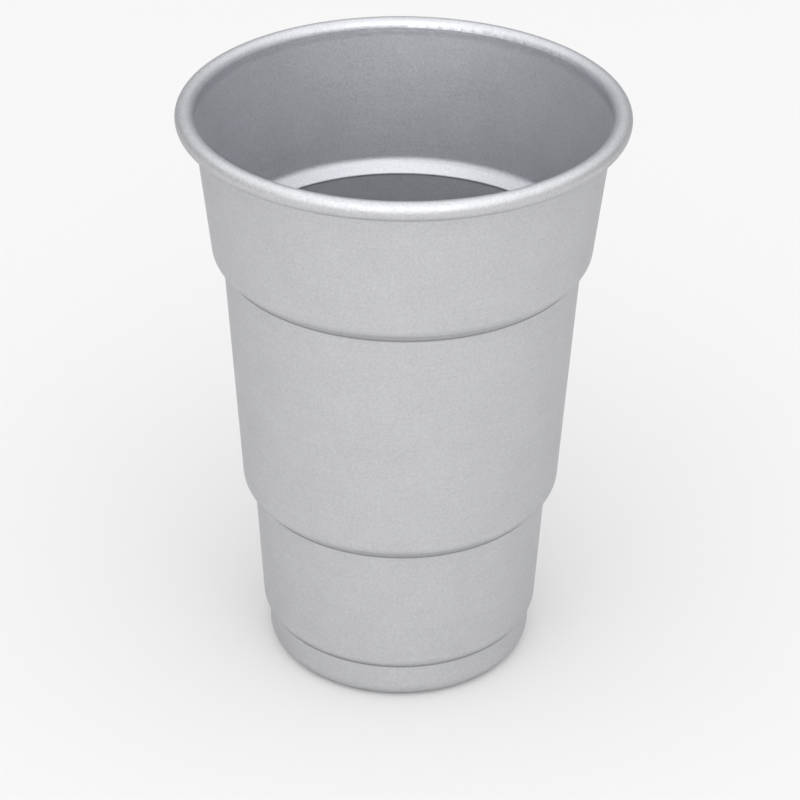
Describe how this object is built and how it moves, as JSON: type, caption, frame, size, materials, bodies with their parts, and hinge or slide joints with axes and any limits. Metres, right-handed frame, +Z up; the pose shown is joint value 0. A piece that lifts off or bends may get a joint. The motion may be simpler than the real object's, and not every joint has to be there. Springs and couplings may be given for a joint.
{
  "type": "deep drawn metal cup",
  "caption": "Tapered drinking cup deep drawn from one thin sheet of aluminium, with stepped walls, a rolled rim and a raised base panel.",
  "frame": {"origin": "middle of the plane that the cup stands on", "axes": "+Z up along the cup's own axis, from the base to the mouth; X and Y are any two directions across it"},
  "size_m": [0.094, 0.094, 0.1304],
  "materials": {
    "satin_aluminium": "satin, bare metal"
  },
  "bodies": {
    "root": {"cup": "satin_aluminium"}
  },
  "joints": []
}
